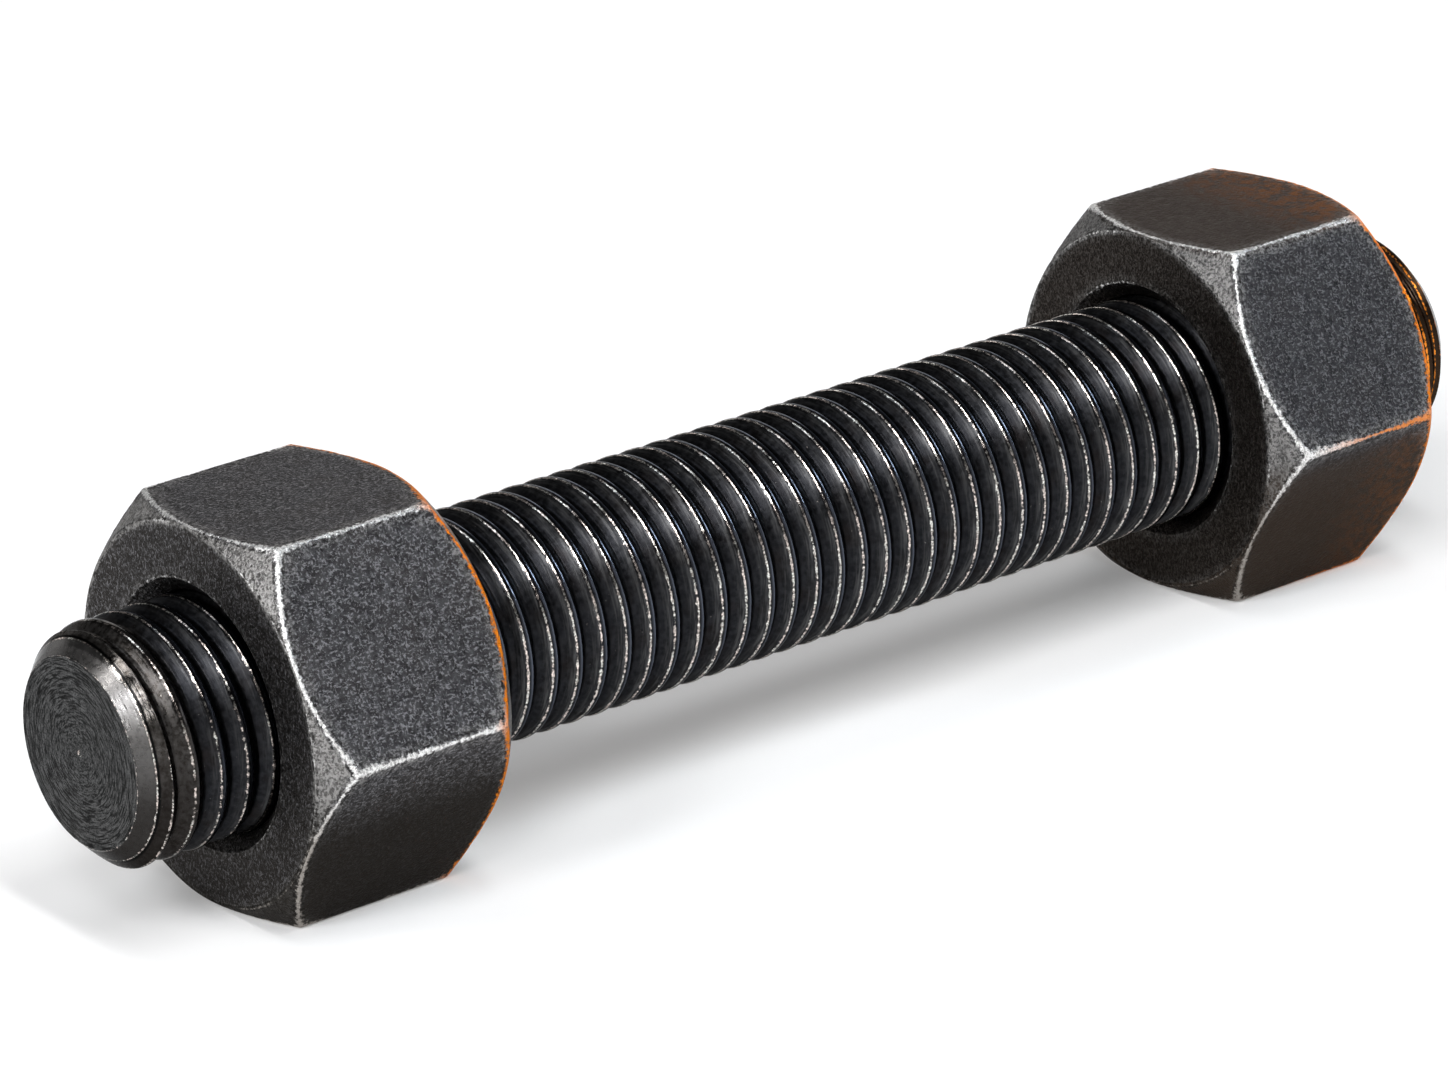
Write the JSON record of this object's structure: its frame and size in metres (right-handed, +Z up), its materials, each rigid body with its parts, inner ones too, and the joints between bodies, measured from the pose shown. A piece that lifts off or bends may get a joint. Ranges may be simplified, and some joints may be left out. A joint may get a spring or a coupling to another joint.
{
  "type": "fully threaded stud with hex nuts",
  "caption": "Steel stud threaded along its whole length, with a heavy hex nut near each end, for clamping flanges or plates between the nuts.",
  "frame": {"origin": "on the stud's axis, half way along its length", "axes": "+X along the stud, from the end that stands out further from its nut to the other; +Z up, square to the flats that the nuts lie on; -Y towards the side that the picture shows"},
  "size_m": [0.1778, 0.0472, 0.041],
  "materials": {
    "stud_steel": "glossy black oiled steel with bright worn thread crests",
    "nut_steel": "dark grainy forged steel with bright worn edges"
  },
  "bodies": {
    "stud": {"stud": "stud_steel"},
    "near_nut": {"near_nut": "nut_steel"},
    "far_nut": {"far_nut": "nut_steel"}
  },
  "joints": [
    {"name": "near_nut_turn", "type": "hinge", "parent": "stud", "child": "near_nut", "pos_m": [-0.06255, 0, 0], "axis": [1, 0, 0], "continuous": true},
    {"name": "far_nut_turn", "type": "hinge", "parent": "stud", "child": "far_nut", "pos_m": [0.06515, 0, 0], "axis": [1, 0, 0], "continuous": true}
  ]
}
